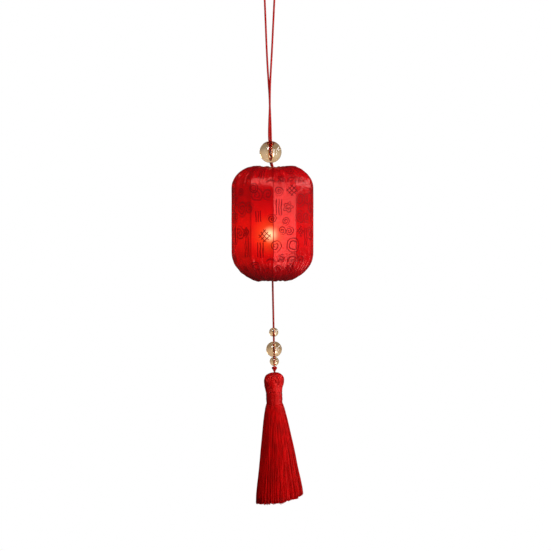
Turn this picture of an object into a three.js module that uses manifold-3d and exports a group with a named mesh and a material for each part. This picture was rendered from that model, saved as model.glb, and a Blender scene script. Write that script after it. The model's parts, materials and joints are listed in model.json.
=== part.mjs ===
// A small festive hanging lantern: a satin cover on wire ribs with a battery lamp inside,
// carried by a double cord through a glass bead, with a beaded cord and a tassel below it.
//
// Millimetres, +Z up. The origin is the inside of the hanging loop, where a hook carries it.
// The front is -Y. The lantern's own sizes are measured from its centre.

import * as THREE from "three";
import { mergeVertices } from "three/addons/utils/BufferGeometryUtils.js";
import Module from "manifold-3d";

const wasm = await Module();
wasm.setup();

// ---------------------------------------------------------------- driving dimensions

const GAP = 0.3; // kept between pieces that touch on the real object

// Where the lantern hangs below the hook
const LANTERN = { x: 1.95, z: -157.35 };

// Satin cover: an eleven-sided drum with rounded shoulders
const RIB_COUNT = 11;
const COVER = { radius: 26.35, wall: 0.5 };
const SHOULDER_TOP = { r: 11.95, z: 21.45 }; // centre of the upper shoulder's arc
const SHOULDER_BOTTOM = { r: 7.85, z: -18.05 }; // centre of the lower shoulder's arc
const CREST_ROUND = 4.5; // small round that leads over the crest into the dimple
const DIMPLE_SLOPE = 22; // degrees below the horizontal
const COVER_EDGE = { top: 2.8, bottom: 8.9, lip: 8.2, lipZ: -35.7 };

// Wire ribs and the two hubs that hold their ends
const WIRE_RADIUS = 0.4;
const RIB_INSET = COVER.wall + GAP + WIRE_RADIUS;
const SLOT_WIDTH = 2 * WIRE_RADIUS + 2 * GAP;
const UPPER_HUB = {
  radius: 6.2,
  bottom: 27.4,
  top: 30.7,
  slotFloor: 29.2,
  slotInner: 3.3,
  plate: 4.6,
  plateThickness: 0.6,
};
const LOWER_HUB = {
  radius: 11.5,
  bottom: -35,
  top: -32.2,
  slotFloor: -34,
  slotInner: 8.6,
  plate: 11,
  plateThickness: 1.1,
};

// Eyelet in the upper hub, and the pivot where the cord leaves it
const EYELET = { bore: 1.75, barrel: 2.4, flange: 4.1 };
const UPPER_PIVOT = 34.3;
const PIVOT_CLEARANCE = 0.4; // from a swing pivot to the cord on either side of it

// The cord and its knots
const CORD = 1.2; // diameter
const CORD_HOLE = CORD / 2 + 0.35; // radius of a hole that the cord slides in
const TWIN_RADIUS = 1.35; // the two strands of the loop where they run as one

// Beads: radius and the hole's radius
const TOP_BEAD = { radius: 7, hole: 1.7, x: 0.65, z: -112.4 };
const LARGE_BEAD = { radius: 5, hole: CORD_HOLE };
const SMALL_BEAD = { radius: 2.95, hole: CORD_HOLE };

// Lamp: a plug in the lower hub, a battery tube and a frosted dome on it
const PLUG = { radius: 7, rim: 7.6, bottom: -36, rimTop: -34.8, floor: -34.3, top: -29.9 };
const PLUG_BORE = { radius: 7.3, rimRadius: 7.9, step: -34.5 };
const CELL = { radius: 3.95, height: 3.6, count: 3, bottom: -26.7 };
const TUBE = { outer: 6, inner: 4.3, bottom: -29, top: -14.4, roof: 0.8 };
const BOARD = { radius: 5.8, bottom: -30.9, top: -30.2 };
const LED = { radius: 2.5, flange: 2.9, bottom: -14.0, height: 8.6 };
const DOME = { outer: 5, wall: 0.7, top: -2.5 };
const BUTTON = { radius: 1.3, hole: 1.6, flange: 2, offset: 3.8, bottom: -36.6, top: -32.6 };

// Hanging parts: distances below their own pivots, and how far each leans to the right
const LOWER_PIVOT = -36.6;
const PENDANT_LEAN = 1.2;
const TASSEL_LEAN = 2.2;
const BEAD_DEPTHS = { upper: 32.9, large: 43.75, lower: 51.5 };
const KNOT_DEPTH = 56.05;
const TASSEL_DEPTH = 57.6;
const TASSEL = {
  core: 4.4,
  coreCentre: -6.8,
  neckTop: -13.4,
  neckBottom: -21.4,
  neckRadius: 5.3,
  bundle: 4.2,
  depthShare: 0.86, // the skirt is a little flatter from front to back
};

// ---------------------------------------------------------------- materials

const material = (color, roughness, metalness = 0, opacity = 1) =>
  new THREE.MeshStandardMaterial({ color, roughness, metalness, opacity, transparent: opacity < 1 });

const satin = material(0xb80712, 0.35);
const silkCord = material(0xa31212, 0.7);
const silkThread = material(0xb30a0e, 0.45);
const champagneGlass = material(0xd9b98a, 0.05, 0, 0.6);
const springSteel = material(0x8f9194, 0.35, 1);
const brass = material(0xc69a4c, 0.3, 1);
const nickel = material(0xb9bbbd, 0.25, 1);
const whitePlastic = material(0xece7dc, 0.5);
const redPlastic = material(0x9c0f14, 0.45);
const frostedPlastic = material(0xfff0d0, 0.6, 0, 0.7);
const boardGreen = material(0x1e5a34, 0.55);

// ---------------------------------------------------------------- helpers

const radians = THREE.MathUtils.degToRad;
const model = new THREE.Group();

// A named mesh in a group.
function add(name, geometry, look, parent = model) {
  const mesh = new THREE.Mesh(geometry, look);
  mesh.name = name;
  parent.add(mesh);
  return mesh;
}

// Points on an arc in the r-z plane, angles in degrees from the outward direction.
function arc(r, z, radius, from, to, steps) {
  return Array.from({ length: steps + 1 }, (_, i) => {
    const angle = radians(from + ((to - from) * i) / steps);
    return new THREE.Vector2(r + radius * Math.cos(angle), z + radius * Math.sin(angle));
  });
}

const at = (r, z) => new THREE.Vector2(r, z);

// A solid of revolution about Z. The profile runs upwards on its outer side.
function turned(profile, segments = 24) {
  return new THREE.LatheGeometry(profile, segments).rotateX(Math.PI / 2);
}

// A ring, tube or disc with a square section, from one height to another.
function ring(inner, outer, bottom, top, segments = 24) {
  const outside = [at(inner, bottom), at(outer, bottom), at(outer, top), at(inner, top)];
  return turned(inner > 0 ? [...outside, at(inner, bottom)] : outside, segments);
}

// A round wire or cord along a curve.
function swept(curve, radius, sides, steps) {
  const section = new THREE.Shape(
    Array.from({ length: sides }, (_, i) => {
      const angle = (2 * Math.PI * i) / sides;
      return at(radius * Math.cos(angle), radius * Math.sin(angle));
    }),
  );
  return new THREE.ExtrudeGeometry(section, { steps, extrudePath: curve, bevelEnabled: false });
}

// A closed geometry as a manifold-3d solid, and back.
function solid(geometry) {
  const bare = geometry.clone();
  bare.deleteAttribute("normal");
  bare.deleteAttribute("uv");
  const merged = mergeVertices(bare, 1e-4);
  return new wasm.Manifold(
    new wasm.Mesh({
      numProp: 3,
      vertProperties: merged.attributes.position.array,
      triVerts: new Uint32Array(merged.index.array),
    }),
  );
}

function geometryOf(manifold) {
  const { vertProperties, triVerts } = manifold.getMesh();
  const geometry = new THREE.BufferGeometry();
  geometry.setAttribute("position", new THREE.BufferAttribute(vertProperties, 3));
  geometry.setIndex(new THREE.BufferAttribute(triVerts, 1));
  return geometry;
}

// One geometry with others cut out of it.
function cut(base, tools) {
  return geometryOf(tools.reduce((body, tool) => body.subtract(solid(tool)), solid(base)));
}

// A group that stands for a piece hanging from a pivot and leaning to the right.
function hungFrom(parent, x, z, lean) {
  const group = new THREE.Group();
  group.position.set(x, 0, z);
  group.rotation.y = -radians(lean);
  parent.add(group);
  return group;
}

// ---------------------------------------------------------------- lantern

const lantern = new THREE.Group();
lantern.position.set(LANTERN.x, 0, LANTERN.z);
model.add(lantern);

const topArcRadius = COVER.radius - SHOULDER_TOP.r;
const bottomArcRadius = COVER.radius - SHOULDER_BOTTOM.r;
const crestTurn = 90 + DIMPLE_SLOPE;

// The cover's line down one side, set in from its outer face: crest, upper shoulder, wall, lower shoulder.
function wallLine(inset, bottomEnd) {
  const crestZ = SHOULDER_TOP.z + topArcRadius - CREST_ROUND;
  const bottomTurn = THREE.MathUtils.radToDeg(
    Math.acos((bottomEnd - SHOULDER_BOTTOM.r) / (bottomArcRadius - inset)),
  );
  return [
    ...arc(SHOULDER_TOP.r, crestZ, CREST_ROUND - inset, crestTurn, 90, 4),
    ...arc(SHOULDER_TOP.r, SHOULDER_TOP.z, topArcRadius - inset, 90, 0, 12).slice(1),
    ...arc(SHOULDER_BOTTOM.r, SHOULDER_BOTTOM.z, bottomArcRadius - inset, 0, -bottomTurn, 12),
  ];
}

// The cover's upper edge, at the end of the slope that leads down to the eyelet.
function upperEdge(inset) {
  const slopeTop = wallLine(0, COVER_EDGE.bottom)[0];
  const drop = (slopeTop.x - COVER_EDGE.top) * Math.tan(radians(DIMPLE_SLOPE));
  const turn = radians(crestTurn);
  return at(COVER_EDGE.top - inset * Math.cos(turn), slopeTop.y - drop - inset * Math.sin(turn));
}

function coverGeometry() {
  const { wall } = COVER;
  const outside = [upperEdge(0), ...wallLine(0, COVER_EDGE.bottom)];
  const inside = [upperEdge(wall), ...wallLine(wall, COVER_EDGE.bottom + wall)];
  const lip = [at(COVER_EDGE.lip, COVER_EDGE.lipZ), at(COVER_EDGE.lip + wall, COVER_EDGE.lipZ + wall)];
  const around = [...inside, lip[1], lip[0], ...outside.reverse()];
  return turned([...around, around[0]], RIB_COUNT);
}

add("satin_cover", coverGeometry(), satin, lantern);

// One rib: a wire under the cover from the upper hub's slot to the lower hub's slot.
function ribGeometry() {
  const line = [
    at(3.9, 29.9),
    at(5.7, 30.6),
    ...wallLine(RIB_INSET, 14.8),
    at(12.7, -33.8),
    at(11.4, -33.3),
    at(9.2, -33.2),
  ];
  const curve = new THREE.CatmullRomCurve3(line.map((p) => new THREE.Vector3(p.x, 0, p.y)));
  return swept(curve, WIRE_RADIUS, 6, 22);
}

// The angle of a rib about Z: the first one is at the front.
const ribAngle = (i) => (2 * Math.PI * i) / RIB_COUNT - Math.PI / 2;

for (let i = 0; i < RIB_COUNT; i++) {
  const rib = add(`rib_${String(i + 1).padStart(2, "0")}`, ribGeometry(), springSteel, lantern);
  rib.rotation.z = ribAngle(i);
}

// Boxes that cut one slot for each rib's end into a hub.
function ribSlots(hub) {
  const length = hub.radius - hub.slotInner + 1;
  const height = hub.top - hub.slotFloor + 1;
  return Array.from({ length: RIB_COUNT }, (_, i) =>
    new THREE.BoxGeometry(length, SLOT_WIDTH, height)
      .translate(hub.slotInner + length / 2, 0, hub.slotFloor + height / 2)
      .rotateZ(ribAngle(i)),
  );
}

const eyeletHole = EYELET.barrel + GAP;
add(
  "upper_hub",
  cut(ring(eyeletHole, UPPER_HUB.radius, UPPER_HUB.bottom, UPPER_HUB.top, 33), ribSlots(UPPER_HUB)),
  whitePlastic,
  lantern,
);
const upperPlateBottom = UPPER_HUB.top + GAP;
add(
  "upper_hub_plate",
  ring(eyeletHole, UPPER_HUB.plate, upperPlateBottom, upperPlateBottom + UPPER_HUB.plateThickness),
  whitePlastic,
  lantern,
);

// The eyelet: a flared top over the cover's edge, a barrel through the hub and a rolled lower end.
add(
  "upper_eyelet",
  turned([
    at(EYELET.bore, 26.6),
    at(3.1, 26.6),
    at(3.1, 27.1),
    at(EYELET.barrel, 27.1),
    at(EYELET.barrel, 32.75),
    at(EYELET.flange, 33.75),
    at(EYELET.flange, 34.05),
    at(EYELET.bore, 33.5),
    at(EYELET.bore, 26.6),
  ]),
  brass,
  lantern,
);

// The lower hub is a ring: the lamp's plug goes up through it.
const lowerHubBody = turned(
  [
    at(PLUG_BORE.rimRadius, LOWER_HUB.bottom),
    at(LOWER_HUB.radius, LOWER_HUB.bottom),
    at(LOWER_HUB.radius, LOWER_HUB.top),
    at(PLUG_BORE.radius, LOWER_HUB.top),
    at(PLUG_BORE.radius, PLUG_BORE.step),
    at(PLUG_BORE.rimRadius, PLUG_BORE.step),
    at(PLUG_BORE.rimRadius, LOWER_HUB.bottom),
  ],
  33,
);
add("lower_hub", cut(lowerHubBody, ribSlots(LOWER_HUB)), whitePlastic, lantern);
const lowerPlateBottom = LOWER_HUB.top + GAP;
add(
  "lower_hub_plate",
  ring(
    PLUG_BORE.radius,
    LOWER_HUB.plate,
    lowerPlateBottom,
    lowerPlateBottom + LOWER_HUB.plateThickness,
  ),
  whitePlastic,
  lantern,
);

// ---------------------------------------------------------------- lamp

const buttonHole = new THREE.CylinderGeometry(BUTTON.hole, BUTTON.hole, 4, 16)
  .rotateX(Math.PI / 2)
  .translate(0, BUTTON.offset, PLUG.bottom + 1);
const plugBody = turned([
  at(CORD_HOLE, PLUG.bottom),
  at(PLUG.rim, PLUG.bottom),
  at(PLUG.rim, PLUG.rimTop),
  at(PLUG.radius, PLUG.rimTop),
  at(PLUG.radius, PLUG.top),
  at(PLUG.radius - 0.8, PLUG.top),
  at(PLUG.radius - 0.8, PLUG.floor),
  at(CORD_HOLE, PLUG.floor),
  at(CORD_HOLE, PLUG.bottom),
]);
add("lamp_plug", cut(plugBody, [buttonHole]), redPlastic, lantern);

// The button's flange rests on the plug's floor, so that it can't drop out.
const flangeBottom = PLUG.floor + GAP;
add(
  "switch_button",
  turned(
    [
      at(0, BUTTON.bottom),
      at(BUTTON.radius, BUTTON.bottom),
      at(BUTTON.radius, flangeBottom),
      at(BUTTON.flange, flangeBottom),
      at(BUTTON.flange, flangeBottom + 0.6),
      at(BUTTON.radius, flangeBottom + 0.6),
      at(BUTTON.radius, BUTTON.top),
      at(0, BUTTON.top),
    ],
    16,
  ),
  whitePlastic,
  lantern,
).position.y = BUTTON.offset;

add("circuit_board", ring(0, BOARD.radius, BOARD.bottom, BOARD.top), boardGreen, lantern);
add("tact_switch", new THREE.BoxGeometry(3, 3, 0.8), nickel, lantern).position.set(
  0,
  BUTTON.offset - 0.4,
  BOARD.bottom - GAP - 0.4,
);

// The spring under the cells.
class Helix extends THREE.Curve {
  constructor(radius, height, turns) {
    super();
    Object.assign(this, { radius, height, turns });
  }
  getPoint(t, target = new THREE.Vector3()) {
    const angle = 2 * Math.PI * this.turns * t;
    return target.set(this.radius * Math.cos(angle), this.radius * Math.sin(angle), this.height * t);
  }
}
const springWire = 0.2;
const springBottom = BOARD.top + GAP + springWire;
const springHeight = CELL.bottom - GAP - springWire - springBottom;
add("contact_spring", swept(new Helix(2.4, springHeight, 3.5), springWire, 6, 42), brass, lantern)
  .position.z = springBottom;

for (let i = 0; i < CELL.count; i++) {
  const bottom = CELL.bottom + i * (CELL.height + 0.1);
  const cell = turned([
    at(0, bottom),
    at(CELL.radius - 0.8, bottom),
    at(CELL.radius, bottom + 0.5),
    at(CELL.radius, bottom + CELL.height),
    at(0, bottom + CELL.height),
  ]);
  add(`button_cell_${i + 1}`, cell, nickel, lantern);
}

const leadOffset = 1.27;
const leadHole = (x) =>
  new THREE.CylinderGeometry(0.6, 0.6, 4, 12).rotateX(Math.PI / 2).translate(x, 0, TUBE.top);
add(
  "battery_tube",
  cut(
    turned([
      at(TUBE.inner, TUBE.bottom),
      at(TUBE.outer, TUBE.bottom),
      at(TUBE.outer, TUBE.top),
      at(0, TUBE.top),
      at(0, TUBE.top - TUBE.roof),
      at(TUBE.inner, TUBE.top - TUBE.roof),
      at(TUBE.inner, TUBE.bottom),
    ]),
    [leadHole(-leadOffset), leadHole(leadOffset)],
  ),
  whitePlastic,
  lantern,
);

add(
  "led",
  turned([
    at(0, LED.bottom),
    at(LED.flange, LED.bottom),
    at(LED.flange, LED.bottom + 1),
    ...arc(0, LED.bottom + LED.height - LED.radius, LED.radius, 0, 90, 6),
  ]),
  frostedPlastic,
  lantern,
);
for (const [name, x] of [["led_lead_plus", -leadOffset], ["led_lead_minus", leadOffset]]) {
  const lead = ring(0, 0.25, TUBE.top - TUBE.roof - 0.1, LED.bottom - GAP / 2, 8);
  add(name, lead, nickel, lantern).position.x = x;
}

const domeSpring = DOME.top - DOME.outer; // where the dome's wall turns into its round top
add(
  "frosted_dome",
  turned([
    at(DOME.outer - DOME.wall, TUBE.top + GAP),
    at(DOME.outer, TUBE.top + GAP),
    ...arc(0, domeSpring, DOME.outer, 0, 90, 6),
    ...arc(0, domeSpring, DOME.outer - DOME.wall, 90, 0, 6),
    at(DOME.outer - DOME.wall, TUBE.top + GAP),
  ]),
  frostedPlastic,
  lantern,
);

// ---------------------------------------------------------------- cords and their knots

// The loop's two strands, from the eyelet up to the hook. Each row is one height:
// [z, middle of the pair in x, half the distance between the strands, turn of the pair in degrees].
const STRAND_ROWS = [
  [-122.65, 1.95, 0.62, -60],
  [-121.2, 1.55, 0.62, -56],
  [-119.5, 1.08, 0.62, -52],
  [-117.5, 0.86, 0.62, -47],
  [-112.0, 0.62, 0.62, -31],
  [-105.0, 0.36, 0.62, -12],
  [-101.0, 0.24, 0.62, 2],
  [-94.0, 0.2, 0.62, 42],
  [-88.5, 0.2, 0.62, 67],
  [-82.5, 0.17, 0.62, 90],
  [-76.0, 0.06, 0.62, 103],
  [-70.5, -0.05, 0.64, 130],
  [-65.0, -0.12, 0.72, 168],
  [-58.0, -0.15, 1.12, 180],
  [-46.0, -0.12, 1.74, 180],
  [-30.0, -0.05, 2.44, 180],
  [-14.0, 0, 3.17, 180],
  [-5.5, 0, 3.68, 180],
];
const LOOP_TOP = [
  [-3.05, -1.4],
  [0, 0.6],
  [3.05, -1.4],
];

// One strand's points, bottom first: side is -1 for the one that starts on the left.
function strand(side) {
  return STRAND_ROWS.map(([z, middle, half, turn]) => {
    const angle = radians(turn);
    return new THREE.Vector3(middle + side * half * Math.cos(angle), side * half * Math.sin(angle), z);
  });
}
const overTheTop = LOOP_TOP.map(([x, z]) => new THREE.Vector3(-x, 0, z));
const loopRoute = [...strand(-1), ...overTheTop, ...strand(1).reverse()];
add(
  "hanging_loop",
  swept(new THREE.CatmullRomCurve3(loopRoute), CORD / 2, 8, 80),
  silkCord,
);

// A knot hidden inside the lantern, with the cord's stem above or below it.
function stopperKnot(stemRadius, stemEnd, radius, centre) {
  const up = stemEnd > centre;
  const touch = THREE.MathUtils.radToDeg(Math.acos(stemRadius / radius));
  return turned(
    up
      ? [...arc(0, centre, radius, -90, touch, 9), at(stemRadius, stemEnd), at(0, stemEnd)]
      : [at(0, stemEnd), at(stemRadius, stemEnd), ...arc(0, centre, radius, -touch, 90, 9)],
    16,
  );
}
add(
  "upper_knot",
  stopperKnot(TWIN_RADIUS, UPPER_PIVOT - PIVOT_CLEARANCE, 2.4, 23.7),
  silkCord,
  lantern,
);
add(
  "lower_knot",
  stopperKnot(CORD / 2, LOWER_PIVOT + PIVOT_CLEARANCE, 1.5, -32.5),
  silkCord,
  lantern,
);

// ---------------------------------------------------------------- beads

// A round bead on a vertical hole with eased ends.
function beadGeometry({ radius, hole }, segments, ease = 0.5) {
  const mouth = hole + ease;
  const turn = THREE.MathUtils.radToDeg(Math.acos(mouth / radius));
  const height = radius * Math.sin(radians(turn));
  const outside = arc(0, 0, radius, -turn, turn, 12);
  const inside = [at(hole, height - ease), at(hole, ease - height)];
  return turned([...outside, ...inside, outside[0]], segments);
}

add("top_bead", beadGeometry(TOP_BEAD, 24, 0.7), champagneGlass).position.set(
  TOP_BEAD.x,
  0,
  TOP_BEAD.z,
);

const pendant = hungFrom(lantern, 0, LOWER_PIVOT, PENDANT_LEAN);
add("upper_small_bead", beadGeometry(SMALL_BEAD, 16), champagneGlass, pendant)
  .position.z = -BEAD_DEPTHS.upper;
add("large_bead", beadGeometry(LARGE_BEAD, 20), champagneGlass, pendant)
  .position.z = -BEAD_DEPTHS.large;
add("lower_small_bead", beadGeometry(SMALL_BEAD, 16), champagneGlass, pendant)
  .position.z = -BEAD_DEPTHS.lower;

// The cord between the lamp's plug and the tassel, as depths below its pivot.
const LOWER_ROUTE = [0.4, 2, 4.5, 7.5, 11, 15, 19, 23, 27, 31, 35, 39, 43, 47, 50.5, 53, 54.4];
const lowerCordCurve = new THREE.CatmullRomCurve3(
  LOWER_ROUTE.map((depth) => new THREE.Vector3(0, 0, -depth)),
);
add("lower_cord", swept(lowerCordCurve, CORD / 2, 8, 22), silkCord, pendant);
add(
  "tassel_knot",
  new THREE.SphereGeometry(1.35, 14, 10).rotateX(Math.PI / 2).scale(1.2, 1.1, 1),
  silkCord,
  pendant,
).position.z = -KNOT_DEPTH;

// ---------------------------------------------------------------- tassel

const tassel = hungFrom(pendant, 0, -TASSEL_DEPTH, TASSEL_LEAN - PENDANT_LEAN);

// The head is a shell of wound thread over a round core.
const headEnd = TASSEL.neckTop + GAP;
add(
  "tassel_head",
  turned([
    at(3.6, headEnd),
    at(5.2, headEnd),
    at(5.5, -10.6),
    at(6.0, -8.2),
    at(6.2, -6.3),
    at(5.9, -4.4),
    at(4.9, -2.7),
    at(3.3, -1.5),
    at(1.9, -0.9),
    at(0.8, -PIVOT_CLEARANCE),
    at(0.4, -PIVOT_CLEARANCE),
    ...arc(0, TASSEL.coreCentre, TASSEL.core + GAP, 85, -40, 10),
    at(3.6, headEnd),
  ], 20),
  silkThread,
  tassel,
);
add("tassel_core", new THREE.SphereGeometry(TASSEL.core, 16, 10), whitePlastic, tassel)
  .position.z = TASSEL.coreCentre;
add(
  "tassel_binding",
  ring(TASSEL.bundle + GAP, TASSEL.neckRadius, TASSEL.neckBottom, TASSEL.neckTop, 20),
  silkThread,
  tassel,
);

// The skirt: a tied bundle inside the binding that spreads into a bell below it.
const skirtTop = TASSEL.neckBottom - GAP;
const bundleTop = TASSEL.neckTop - GAP;
const skirt = add(
  "tassel_skirt",
  turned([
    at(0, -84.6),
    at(14.8, -84.6),
    at(14.5, -79),
    at(13.6, -72),
    at(12.0, -61.5),
    at(10.6, -51),
    at(9.1, -41),
    at(7.5, -31),
    at(5.9, -23.5),
    at(5.5, skirtTop),
    at(TASSEL.bundle, skirtTop),
    at(TASSEL.bundle, bundleTop),
    at(0, bundleTop),
  ], 20),
  silkThread,
  tassel,
);
skirt.scale.y = TASSEL.depthShare;

export default model;
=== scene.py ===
"""The looks of a small hanging satin lantern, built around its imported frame."""

import json
import math
import random

import bpy
from mathutils import Matrix, Vector, noise


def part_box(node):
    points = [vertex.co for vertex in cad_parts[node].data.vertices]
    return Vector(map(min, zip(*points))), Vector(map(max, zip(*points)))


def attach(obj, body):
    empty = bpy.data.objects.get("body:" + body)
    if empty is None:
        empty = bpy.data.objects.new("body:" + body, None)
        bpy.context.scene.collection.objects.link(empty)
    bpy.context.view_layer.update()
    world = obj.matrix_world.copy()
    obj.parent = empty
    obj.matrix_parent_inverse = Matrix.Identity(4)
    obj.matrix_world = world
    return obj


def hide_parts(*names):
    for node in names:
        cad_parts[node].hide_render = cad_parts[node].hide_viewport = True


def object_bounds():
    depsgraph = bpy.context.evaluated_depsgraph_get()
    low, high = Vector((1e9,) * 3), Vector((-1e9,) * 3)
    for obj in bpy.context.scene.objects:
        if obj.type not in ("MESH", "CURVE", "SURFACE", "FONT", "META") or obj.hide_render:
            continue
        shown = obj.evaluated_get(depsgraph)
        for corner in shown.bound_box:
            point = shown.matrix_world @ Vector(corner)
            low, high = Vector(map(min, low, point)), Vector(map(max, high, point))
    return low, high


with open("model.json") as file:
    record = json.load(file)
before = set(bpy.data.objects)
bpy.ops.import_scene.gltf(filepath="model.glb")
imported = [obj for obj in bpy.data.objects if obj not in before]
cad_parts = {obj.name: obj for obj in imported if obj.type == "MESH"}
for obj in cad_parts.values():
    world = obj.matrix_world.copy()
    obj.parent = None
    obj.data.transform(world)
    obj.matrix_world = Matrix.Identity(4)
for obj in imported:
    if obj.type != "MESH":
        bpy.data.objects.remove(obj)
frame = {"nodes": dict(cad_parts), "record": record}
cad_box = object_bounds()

MM = 0.001
TURN = 2 * math.pi
scene = bpy.context.scene
nodes = frame["nodes"]

# ------------------------------------------------------------------ places, from the frame

cover_low, cover_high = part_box("satin_cover")
AXIS_X = (cover_low.x + cover_high.x) / 2
COVER_TOP_ABOVE_CENTRE = 35.85 * MM
LANTERN = Vector((AXIS_X, 0, cover_high.z - COVER_TOP_ABOVE_CENTRE))
LOWER_PIVOT = LANTERN - Vector((0, 0, 36.6 * MM))
PENDANT_LEAN = math.radians(1.2)
TASSEL_LEAN = math.radians(2.2)
TASSEL_DEPTH = 57.6 * MM


def hung_from(place, lean):
    """The place of a piece that hangs from a pivot and leans to the right."""
    return Matrix.Translation(place) @ Matrix.Rotation(-lean, 4, "Y")


PENDANT = hung_from(LOWER_PIVOT, PENDANT_LEAN)
TASSEL = hung_from(PENDANT @ Vector((0, 0, -TASSEL_DEPTH)), TASSEL_LEAN)

# ------------------------------------------------------------------ camera

PICTURE_HEIGHT = 350 * MM  # what the picture spans at the lantern
CAMERA_DISTANCE = 2.0
CAMERA_TURN = math.radians(1.25)
SENSOR = 36.0
PICTURE_CENTRE = LANTERN + Vector((1.84, 0, -33.5)) * MM


def add_camera():
    data = bpy.data.cameras.new("camera")
    data.sensor_width = SENSOR
    data.lens = SENSOR * CAMERA_DISTANCE / PICTURE_HEIGHT
    data.clip_start = 0.05
    camera = bpy.data.objects.new("camera", data)
    back = Vector((-math.sin(CAMERA_TURN), -math.cos(CAMERA_TURN), 0))
    camera.location = PICTURE_CENTRE + back * CAMERA_DISTANCE
    camera.rotation_euler = (math.radians(90), 0, -CAMERA_TURN)
    scene.collection.objects.link(camera)
    scene.camera = camera


# ------------------------------------------------------------------ mesh helpers


class Shape:
    """Vertices, faces and texture coordinates being gathered for one mesh."""

    def __init__(self):
        self.vertices = []
        self.faces = []
        self.uvs = []

    def add_rows(self, rows, uvs=None, closed=True):
        """A surface through rows of points. closed joins each row's end to its start."""
        start = len(self.vertices)
        width = len(rows[0])
        for row in rows:
            self.vertices.extend(row)
        for r in range(len(rows) - 1):
            for k in range(width if closed else width - 1):
                a = start + r * width + k
                b = start + r * width + (k + 1) % width
                self.faces.append((a, b, b + width, a + width))
        self.uvs.extend(uvs or [(0, 0)] * (width * len(rows)))
        return start

    def add_cap(self, first, count, flip):
        """A flat face over a ring of vertices."""
        ring = list(range(first, first + count))
        self.faces.append(ring[::-1] if flip else ring)

    def add_tube(self, path, radius, sides):
        """A closed tube along a path. radius is a length, or a function of distance and angle."""
        reach = radius if callable(radius) else lambda distance, angle: radius
        rows = []
        uvs = []
        distance = 0
        side = None
        for i, point in enumerate(path):
            ahead = path[min(i + 1, len(path) - 1)] - path[max(i - 1, 0)]
            ahead.normalize()
            side = ahead.orthogonal() if side is None else side - ahead * side.dot(ahead)
            side.normalize()
            other = ahead.cross(side)
            row = []
            for k in range(sides):
                angle = TURN * k / sides
                out = side * math.cos(angle) + other * math.sin(angle)
                row.append(point + out * reach(distance, angle))
                uvs.append((k / sides, distance / MM))
            rows.append(row)
            if i + 1 < len(path):
                distance += (path[i + 1] - point).length
        first = self.add_rows(rows, uvs)
        self.add_cap(first, sides, flip=True)
        self.add_cap(first + sides * (len(rows) - 1), sides, flip=False)

    def piece(self, name, material, body, slot, place=None):
        """The gathered mesh as a piece that rides on a body."""
        mesh = bpy.data.meshes.new(name)
        mesh.from_pydata(self.vertices, [], self.faces)
        layer = mesh.uv_layers.new(name="UVMap")
        for loop in mesh.loops:
            layer.data[loop.index].uv = self.uvs[loop.vertex_index]
        if place is not None:
            mesh.transform(place)
        for polygon in mesh.polygons:
            polygon.use_smooth = True
        mesh.materials.append(material)
        mesh.update()
        piece = bpy.data.objects.new(name, mesh)
        scene.collection.objects.link(piece)
        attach(piece, body)
        return piece


def smooth_path(points, step):
    """Points about every step along a smooth curve through the given points."""
    ends = [points[0] * 2 - points[1], *points, points[-1] * 2 - points[-2]]
    path = [points[0]]
    for before, a, b, after in zip(ends, ends[1:], ends[2:], ends[3:]):
        gaps = [(q - p).length ** 0.5 for p, q in ((before, a), (a, b), (b, after))]
        slopes = [(q - p) / g for (p, q), g in zip(((before, a), (a, b), (b, after)), gaps)]
        wide_in = (b - before) / (gaps[0] + gaps[1])
        wide_out = (after - a) / (gaps[1] + gaps[2])
        leave = (slopes[0] - wide_in + slopes[1]) * gaps[1]
        arrive = (slopes[1] - wide_out + slopes[2]) * gaps[1]
        count = max(1, round((b - a).length / step))
        for i in range(1, count + 1):
            t = i / count
            path.append(
                a * (2 * t**3 - 3 * t**2 + 1)
                + leave * (t**3 - 2 * t**2 + t)
                + b * (3 * t**2 - 2 * t**3)
                + arrive * (t**3 - t**2)
            )
    return path


def arc(r, z, radius, start, end, steps):
    """Points (r, z) on an arc, angles in degrees from the outward direction."""
    angles = [math.radians(start + (end - start) * i / steps) for i in range(steps + 1)]
    return [(r + radius * math.cos(a), z + radius * math.sin(a)) for a in angles]


def turned(shape, profile, segments):
    """Adds a surface of revolution about Z to a shape. A profile point is (radius, height)."""
    rows = []
    uvs = []
    length = 0
    for i, (r, z) in enumerate(profile):
        if i:
            length += math.dist(profile[i - 1], profile[i])
        angles = [TURN * k / segments for k in range(segments)]
        rows.append([Vector((r * math.cos(a), r * math.sin(a), z)) for a in angles])
        uvs.extend((k / segments, length) for k in range(segments))
    shape.add_rows(rows, uvs)


def smoothstep(low, high, value):
    t = min(1, max(0, (value - low) / (high - low)))
    return t * t * (3 - 2 * t)


# ------------------------------------------------------------------ material helpers


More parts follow.
